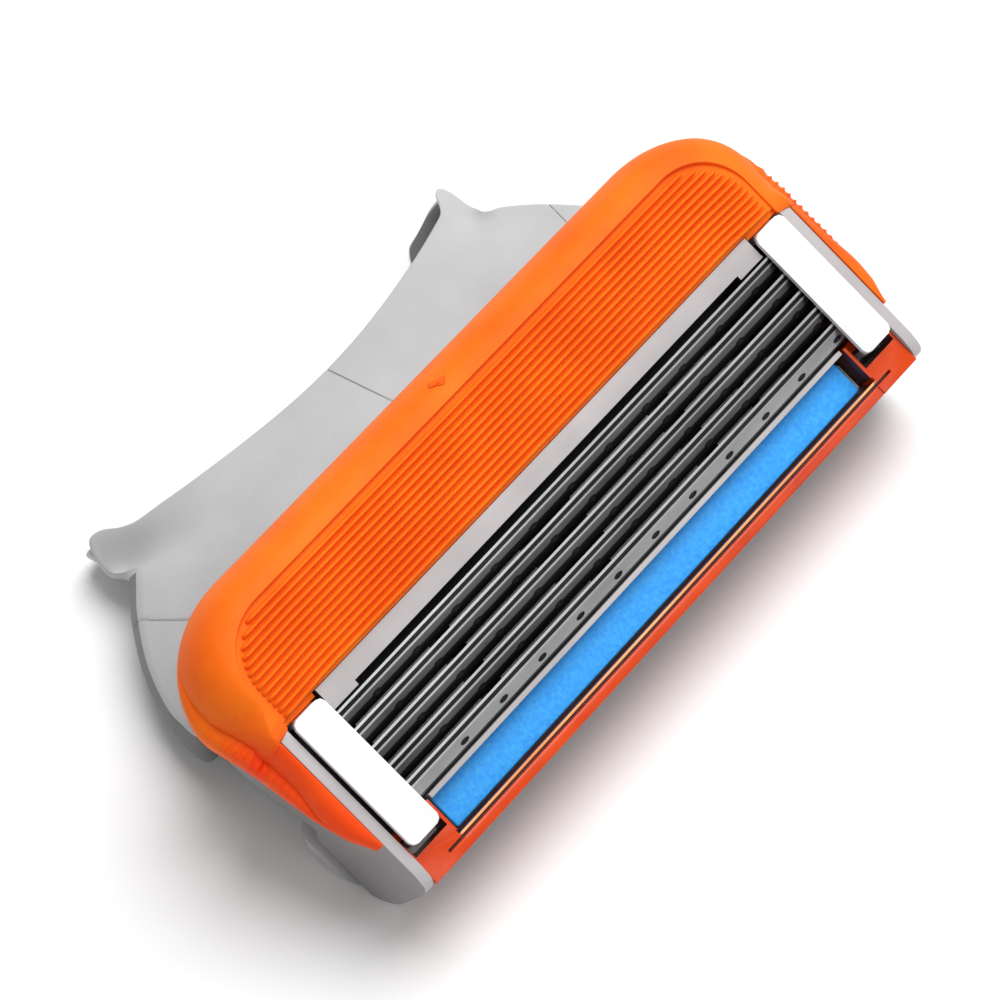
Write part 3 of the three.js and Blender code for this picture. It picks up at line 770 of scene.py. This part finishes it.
def press_seam(mesh, start, end):
    """Presses a parting line into the top plate, between two points given as (x, s)."""
    to_face = TO_ROW.inverted()
    work = bmesh.new()
    work.from_mesh(mesh)
    a, b = (hub_to_face(x, s, crown(x)) for x, s in (start, end))
    along = (b - a).normalized()
    up = hub_to_face(0, 18, 2) - hub_to_face(0, 18, 1)
    across = along.cross(up).normalized()
    turn = TO_ROW.to_3x3()
    for shift in (-SEAM_WIDTH / 2, 0, SEAM_WIDTH / 2):
        near = [
            f for f in work.faces
            if all(abs((to_face @ v.co - a).dot(across)) < 2.5 for v in f.verts)
            and any(-0.3 < (to_face @ v.co - a).dot(along) < (b - a).length + 0.3 for v in f.verts)
            and (turn @ up).dot(f.normal) > 0
        ]
        geometry = list({v for f in near for v in f.verts}) + list({e for f in near for e in f.edges}) + near
        bmesh.ops.bisect_plane(work, geom=geometry, plane_co=TO_ROW @ (a + across * shift),
                               plane_no=(turn @ across).normalized(), dist=1e-7)
    for v in work.verts:
        p = to_face @ v.co - a
        inside = -0.05 < p.dot(along) < (b - a).length
        if inside and abs(p.dot(across)) < 0.01 and abs(p.dot(up)) < 0.8:
            v.co -= (turn @ up) * SEAM_DEPTH
    work.normal_update()
    work.to_mesh(mesh)
    work.free()


def connector():
    work = bmesh.new()
    top_plate(work)
    mouth_tube(work)
    for side in (1, -1):
        cradle_arm(work, side)
    for v in work.verts:
        v.co.z = max(v.co.z, 0.0)
    mesh = to_mesh(work, "connector")
    for start, end in SEAMS:
        press_seam(mesh, start, end)
    materials_with_painted_shade = ["connector_grey", "mouth_painted_shade", "wing_side_painted_shade"]
    body = "connector_body"
    return finish_piece("connector_shell", mesh, materials_with_painted_shade, body, ["connector"], 50)


# Pieces carried over from the CAD

REAR_GROOVE = ((-17.2, -6.24, -1.15), (17.2, -6.07, -0.3))
FRONT_RELIEF = ((-16.2, -5.94, -2.1), (16.2, -5.7, -0.3))


def housing_face(p):
    """1 in the blade well and the clip slots, where the plastic is in the dark and painted in shade, and 2 on
    the end faces, painted in shade where they turn from the light.
    """
    well = abs(p.x) < 18.72 and -3.5 < p.y < 3.75 and p.z < -0.55
    slot = 16.2 < abs(p.x) < 18.74 and -5.7 < p.y < -4.3 and p.z < -0.9
    return 1 if well or slot else 2 if abs(p.x) > 19.3 and p.z < -0.5 else 0


def frame_face(p):
    """1 in the recesses, painted in shade, and 2 on the rail in front of the rear groove, painted with a
    highlight.
    """
    pocket = abs(p.x) < 16.2 and -5.95 < p.y < -3.3 and p.z < -0.95
    groove = abs(p.x) < 17.2 and -6.235 < p.y < -6.075 and p.z < -0.9
    slot = 16.2 < abs(p.x) < 18.6 and -5.22 < p.y < -4.2 and p.z < -0.95
    rail = abs(p.x) < 16.2 and -6.08 < p.y < -5.86 and p.z > -0.98
    return 1 if pocket or groove or slot else 2 if rail else 0


def carried_pieces():
    keep_cad("housing", HEAD, "housing_grey", 0.09, 3, (), ["well_painted_shade", "housing_end_painted_shade"], housing_face)
    keep_cad("trimmer_frame", HEAD, "frame_orange", 0.05, 3, [REAR_GROOVE, FRONT_RELIEF],
             ["recess_painted_shade", "frame_painted_highlight"], frame_face)
    keep_cad("lubricating_strip", HEAD, "strip_blue", 0.12, 3)
    keep_cad("trimmer_blade", HEAD, "blade_steel", 0.02)
    keep_cad("trimmer_support", HEAD, "support_steel", 0.03)
    keep_cad("clip_left", HEAD, "clip_aluminium", 0.12, 4)
    keep_cad("clip_right", HEAD, "clip_aluminium", 0.12, 4)


# Blades: a ground strip on a bent support, joined by weld spots

# Section points, as distance back from the edge and depth below the upper face.
BLADE_FACETS = [(0.0, 0.035), (0.13, 0.01), (0.37, 0.022), (0.47, 0.0), (0.78, 0.0), (1.05, 0.012),
                (1.05, 0.1), (0.34, 0.1), (0.06, 0.05)]
# The facets' colours paint light on the steel: a painted highlight on the ground edge and the land behind it,
# painted shade on the bevel and underside, and the heel in painted shade with the weld spots' dark colour;
# the last blade's body carries the land's painted highlight.
BLADE_MATERIALS = ["blade_steel", "blade_bevel_painted_shade", "blade_edge_painted_highlight", "weld_spot_and_painted_shade", "blade_land_painted_highlight"]
FACET_MATERIALS = [2, 1, 4, 0, 3, 3, 3, 1, 1]
LAST_FACET_MATERIALS = [2, 1, 4, 4, 4, 4, 3, 1, 1]
BLADE_END_LAND = 0.03
WELD_PITCH = 2.9
WELD_HALF_LENGTH = 0.3
WELD_HALF_WIDTH = 0.13
WELD_BACK = 0.8                         # behind the edge
WELD_STEPS = 14
WELD_RINGS = [(1.0, 0.002), (0.9, 0.012), (0.55, 0.004), (0.1, 0.003)]
WELD_MATERIAL = 3


def blade_point(edge_y, x, back, under):
    cos, sin = math.cos(BLADE_ANGLE), math.sin(BLADE_ANGLE)
    return (x, edge_y - cos * back + sin * under, BLADE_EDGE_Z - sin * back - cos * under)


def weld_spots(work, edge_y, shift):
    """Small dished spots along a blade."""
    for i in range(-5, 6):
        middle = i * WELD_PITCH + shift
        rings = []
        for radius, rise in WELD_RINGS:
            ring = []
            for k in range(WELD_STEPS):
                turn = math.tau * k / WELD_STEPS
                x = middle + WELD_HALF_LENGTH * radius * math.cos(turn)
                back = WELD_BACK + WELD_HALF_WIDTH * radius * math.sin(turn)
                ring.append(blade_point(edge_y, x, back, -rise))
            rings.append(ring)
        loft(work, rings, lambda k: WELD_MATERIAL)


def blade(number):
    edge_y = FIRST_EDGE_Y - (number - 1) * BLADE_PITCH
    work = bmesh.new()
    rings = []
    for x in (-BLADE_HALF, -BLADE_HALF + BLADE_END_LAND, BLADE_HALF - BLADE_END_LAND, BLADE_HALF):
        rings.append([blade_point(edge_y, x, a, b) for a, b in BLADE_FACETS])
    facets = LAST_FACET_MATERIALS if number == BLADE_COUNT else FACET_MATERIALS
    loft(work, rings, lambda k: facets[k])
    weld_spots(work, edge_y, 0.35 * number)
    mesh = to_mesh(work, f"blade_{number}")
    body = f"blade_body_{number}"
    finish_piece(f"blade_{number}_ground", mesh, BLADE_MATERIALS, body, [f"blade_{number}"], 3)


def blades():
    for number in range(1, BLADE_COUNT + 1):
        blade(number)
        keep_cad(f"blade_support_{number}", f"blade_body_{number}", "support_steel", 0.03)


# Stage

CAMERA_AIM = pivot_row + Vector((-0.17, 2.3337, -5.7191)) * MM
CAMERA_DISTANCE = 221.6 * MM
CAMERA_AZIMUTH = math.radians(-132.5)
CAMERA_ELEVATION = math.radians(56.2)
CAMERA_ROLL = math.radians(-9.17)
LENS = 160.2
KEY_LIGHT = {"place": (0.2, 0.02, 0.46), "size": 0.46, "power": 2.75}
FILL_LIGHT = {"place": (0.05, -0.38, 0.4), "size": 0.3, "power": 0.35}
WORLD_STRENGTH = 0.36
FLOOR_HEIGHT = -0.00002


def make_camera():
    data = bpy.data.cameras.new("camera")
    data.lens = LENS
    data.sensor_width = 36
    data.clip_start = 0.01
    camera = bpy.data.objects.new("camera", data)
    flat = math.cos(CAMERA_ELEVATION)
    outward = Vector((
        flat * math.cos(CAMERA_AZIMUTH),
        flat * math.sin(CAMERA_AZIMUTH),
        math.sin(CAMERA_ELEVATION),
    ))
    camera.location = CAMERA_AIM + outward * CAMERA_DISTANCE
    turn = (-outward).to_track_quat("-Z", "Y").to_matrix().to_4x4() @ Matrix.Rotation(CAMERA_ROLL, 4, "Z")
    camera.rotation_euler = turn.to_euler()
    bpy.context.scene.collection.objects.link(camera)
    bpy.context.scene.camera = camera


def make_floor():
    bpy.ops.mesh.primitive_grid_add(size=3, x_subdivisions=2, y_subdivisions=2, location=(0, 0, FLOOR_HEIGHT))
    floor = bpy.context.object
    floor.name = "floor"
    material = new_material("floor_white", (0.93, 0.93, 0.93), 0.7, specular=0.2)
    floor.data.materials.append(material)


def area_light(name, place, size, power):
    """A round lamp, turned to the origin."""
    data = bpy.data.lights.new(name, "AREA")
    data.shape = "DISK"
    data.size = size
    data.energy = power
    light = bpy.data.objects.new(name, data)
    light.location = place
    light.rotation_euler = (-Vector(place)).to_track_quat("-Z", "Y").to_euler()
    bpy.context.scene.collection.objects.link(light)


def make_light():
    bpy.context.scene.view_settings.view_transform = "Standard"
    bpy.context.scene.view_settings.look = "None"
    world = bpy.data.worlds.new("world")
    world.use_nodes = True
    world.node_tree.nodes["Background"].inputs["Color"].default_value = (1, 1, 1, 1)
    world.node_tree.nodes["Background"].inputs["Strength"].default_value = WORLD_STRENGTH
    bpy.context.scene.world = world
    area_light("key", **KEY_LIGHT)
    area_light("fill", **FILL_LIGHT)


make_camera()
guard_skin()
fins()
fin_bed()
clip_lips()
gate_mark()
connector()
carried_pieces()
blades()
make_floor()
make_light()
